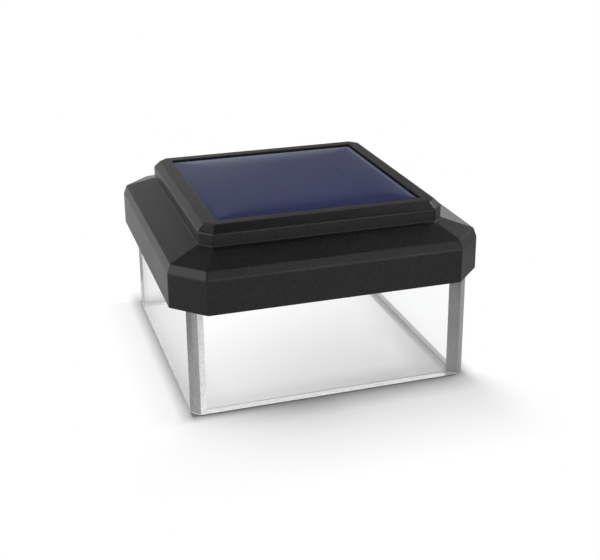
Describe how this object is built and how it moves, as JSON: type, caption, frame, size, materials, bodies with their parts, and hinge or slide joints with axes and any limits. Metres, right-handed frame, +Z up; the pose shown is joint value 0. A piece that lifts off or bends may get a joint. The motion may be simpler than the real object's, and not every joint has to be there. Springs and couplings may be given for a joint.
{
  "type": "deck post cap light",
  "caption": "Solar post cap light: two-tier cap with a resin-domed panel over a thick glass skirt that stands on a square post.",
  "frame": {"origin": "middle of the skirt's foot, at the height of the post's top face", "axes": "+Z up, -Y towards the front pane, +X to the right; the four sides face along X and Y"},
  "size_m": [0.15, 0.15, 0.087],
  "materials": {
    "housing_plastic": "black moulded plastic with a fine matt texture",
    "foam": "black closed-cell foam",
    "circuit_board": "green solder mask",
    "solar_cell": "dark blue crystalline silicon with fine silver fingers",
    "clear_resin": "clear poured resin with a pillowed top",
    "silicone": "translucent silicone",
    "clear_glass": "polished clear glass with ground edges",
    "screw_steel": "plain steel",
    "lamp_board_white": "white solder mask",
    "lamp_resin": "phosphor resin",
    "frosted_plastic": "frosted white plastic",
    "battery_wrap": "plain shrink sleeve",
    "spring_steel": "nickel-plated wire",
    "contact_metal": "nickel-plated sheet",
    "chip_plastic": "moulded chip package",
    "ferrite": "dark ferrite drum",
    "capacitor_sleeve": "plain sleeve on an aluminium can",
    "socket_plastic": "off-white socket body",
    "switch_metal": "tinned steel can",
    "switch_plastic": "black slider with ribs"
  },
  "bodies": {
    "housing": {"cap_shell": "housing_plastic", "panel_tape": "foam", "panel_board": "circuit_board", "solar_cells": "solar_cell", "panel_resin": "clear_resin", "rim_seal": "foam", "base_tray": "housing_plastic", "glass_bed": "silicone", "glass_front": "clear_glass", "glass_right": "clear_glass", "glass_back": "clear_glass", "glass_left": "clear_glass", "tray_screws": "screw_steel", "lamp_board": "lamp_board_white", "lamps": "lamp_resin", "lamp_cover": "frosted_plastic", "battery_front": "battery_wrap", "battery_back": "battery_wrap", "battery_springs": "spring_steel", "contact_plates": "contact_metal", "contact_bridge": "contact_metal", "control_board": "circuit_board", "controller_chip": "chip_plastic", "charge_coil": "ferrite", "capacitor": "capacitor_sleeve", "panel_socket": "socket_plastic", "board_screws": "screw_steel", "switch_body": "switch_metal"},
    "battery_cover": {"battery_cover": "housing_plastic", "cover_seal": "foam", "cover_screws": "screw_steel"},
    "switch_slider": {"switch_slider": "switch_plastic"}
  },
  "joints": [
    {"name": "battery_cover_lift", "type": "slide", "parent": "housing", "child": "battery_cover", "axis": [0, 0, -1], "range_m": [0, 0.03]},
    {"name": "switch_slide", "type": "slide", "parent": "housing", "child": "switch_slider", "axis": [1, 0, 0], "range_m": [0, 0.003]}
  ]
}
